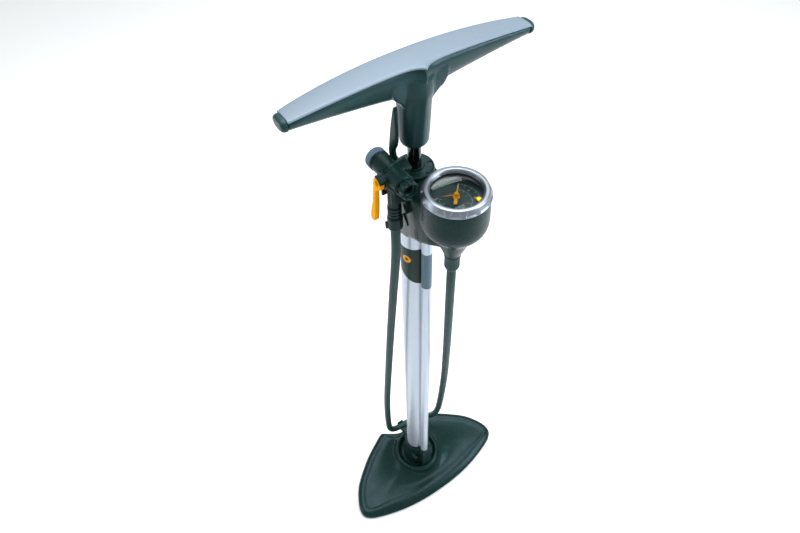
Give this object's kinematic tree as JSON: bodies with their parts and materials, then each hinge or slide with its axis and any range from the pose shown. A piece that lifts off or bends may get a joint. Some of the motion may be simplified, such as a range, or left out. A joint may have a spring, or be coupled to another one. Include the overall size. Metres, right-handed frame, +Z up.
{
  "type": "floor bike pump",
  "caption": "Upright floor pump for bicycle tyres: wide moulded base, alloy barrel with side air channel, dial gauge, T handle on a sliding rod, and a two-way lever head docked on its hose.",
  "frame": {"origin": "on the floor, on the barrel's axis, at the underside of the base's centre pad", "axes": "+Z up along the barrel and the rod; X along the handle; -Y towards the gauge"},
  "size_m": [0.253, 0.1525, 0.7426],
  "materials": {
    "base_composite": "satin moulded composite, fine grain",
    "black_plastic": "satin black moulded plastic",
    "housing_plastic": "satin moulded plastic",
    "handle_plastic": "soft satin moulded plastic",
    "handle_plate": "satin silver-grey lacquer",
    "barrel_alloy": "satin drawn aluminium",
    "rod_steel": "ground and oiled",
    "steel": "zinc plated",
    "brass": "turned",
    "bezel_chrome": "satin chrome",
    "lens": "clear",
    "dial": "printed dial face",
    "pointer_orange": "orange paint",
    "marker_yellow": "yellow plastic",
    "lever_orange": "smooth orange plastic",
    "grey_plastic": "blue-grey moulded plastic",
    "hose_rubber": "matt black rubber",
    "seal_rubber": "matt rubber",
    "rubber_foot": "matt rubber"
  },
  "bodies": {
    "frame": {"base_plate": "base_composite", "foot_left": "rubber_foot", "foot_right": "rubber_foot", "foot_front": "rubber_foot", "foot_back_left": "rubber_foot", "foot_back_right": "rubber_foot", "centre_pad": "rubber_foot", "centre_screw": "steel", "base_socket": "black_plastic", "socket_screw_left": "steel", "socket_screw_right": "steel", "barrel": "barrel_alloy", "foot_plug": "black_plastic", "foot_oring": "seal_rubber", "valve_spring": "steel", "hose_hook": "black_plastic", "top_housing": "housing_plastic", "top_cap": "housing_plastic", "cap_screw_left": "steel", "cap_screw_right": "steel", "rod_bushing": "black_plastic", "gauge_socket": "brass", "bourdon_tube": "brass", "movement_plate": "brass", "dial_plate": "dial", "lens_gasket": "seal_rubber", "hose_barb": "brass", "hose_boot": "hose_rubber", "hose": "hose_rubber", "head_dock": "black_plastic", "dock_screw": "steel"},
    "piston": {"piston_head": "black_plastic", "piston_cup": "seal_rubber"},
    "handle": {"piston_rod": "rod_steel", "piston_nut": "steel", "rod_bumper": "seal_rubber", "handle_body": "handle_plastic", "handle_top_plate": "handle_plate", "handle_screw": "steel", "handle_end_cap_left": "handle_plastic", "handle_end_cap_right": "handle_plastic"},
    "bezel": {"bezel_ring": "bezel_chrome", "gauge_lens": "lens", "set_hand": "pointer_orange", "target_marker": "marker_yellow"},
    "sector": {"sector_gear": "brass"},
    "needle": {"needle": "pointer_orange", "needle_shaft": "brass"},
    "valve": {"valve_poppet": "seal_rubber"},
    "head": {"head_body": "black_plastic", "hose_ferrule": "black_plastic", "lever_pin_left": "steel", "lever_pin_right": "steel"},
    "front_ring": {"front_ring": "black_plastic", "front_gasket": "seal_rubber"},
    "rear_cap": {"rear_cap": "grey_plastic", "rear_gasket": "seal_rubber"},
    "orange_lever": {"orange_lever": "lever_orange"},
    "black_lever": {"black_lever": "black_plastic"}
  },
  "joints": [
    {"name": "handle_slide", "type": "slide", "parent": "frame", "child": "piston", "axis": [0, 0, 1], "range_m": [0, 0.54]},
    {"name": "handle_swivel", "type": "hinge", "parent": "piston", "child": "handle", "pos_m": [0, 0, 0.6655], "axis": [0, 0, 1], "continuous": true},
    {"name": "bezel_turn", "type": "hinge", "parent": "frame", "child": "bezel", "pos_m": [0, -0.0594, 0.652], "axis": [0, 0, 1], "continuous": true},
    {"name": "sector_turn", "type": "hinge", "parent": "frame", "child": "sector", "pos_m": [0.01, -0.0484, 0.626], "axis": [0, 0, 1], "range_deg": [0, 50], "stiffness_Nm_per_rad": 0.004},
    {"name": "needle_turn", "type": "hinge", "parent": "frame", "child": "needle", "pos_m": [0, -0.0594, 0.64], "axis": [0, 0, 1], "range_deg": [-270, 0]},
    {"name": "valve_lift", "type": "slide", "parent": "frame", "child": "valve", "axis": [0, 0, -1], "range_m": [0, 0.0015], "stiffness_N_per_m": 250, "deforming": ["valve_spring"]},
    {"name": "head_undock", "type": "slide", "parent": "frame", "child": "head", "axis": [-1, 0, 0], "range_m": [0, 0.03]},
    {"name": "front_ring_turn", "type": "hinge", "parent": "head", "child": "front_ring", "pos_m": [-0.034, -0.0367, 0.659], "axis": [0, -1, 0], "continuous": true},
    {"name": "rear_cap_turn", "type": "hinge", "parent": "head", "child": "rear_cap", "pos_m": [-0.034, 0.0022, 0.659], "axis": [0, 1, 0], "continuous": true},
    {"name": "orange_lever_flip", "type": "hinge", "parent": "head", "child": "orange_lever", "pos_m": [-0.047, -0.0175, 0.656], "axis": [1, 0, 0], "range_deg": [0, 95]},
    {"name": "black_lever_flip", "type": "hinge", "parent": "head", "child": "black_lever", "pos_m": [-0.0218, -0.0025, 0.657], "axis": [-1, 0, 0], "range_deg": [0, 90]}
  ],
  "couplings": [
    {"joint": "needle_turn", "follows": "sector_turn", "ratio": -5.4}
  ]
}
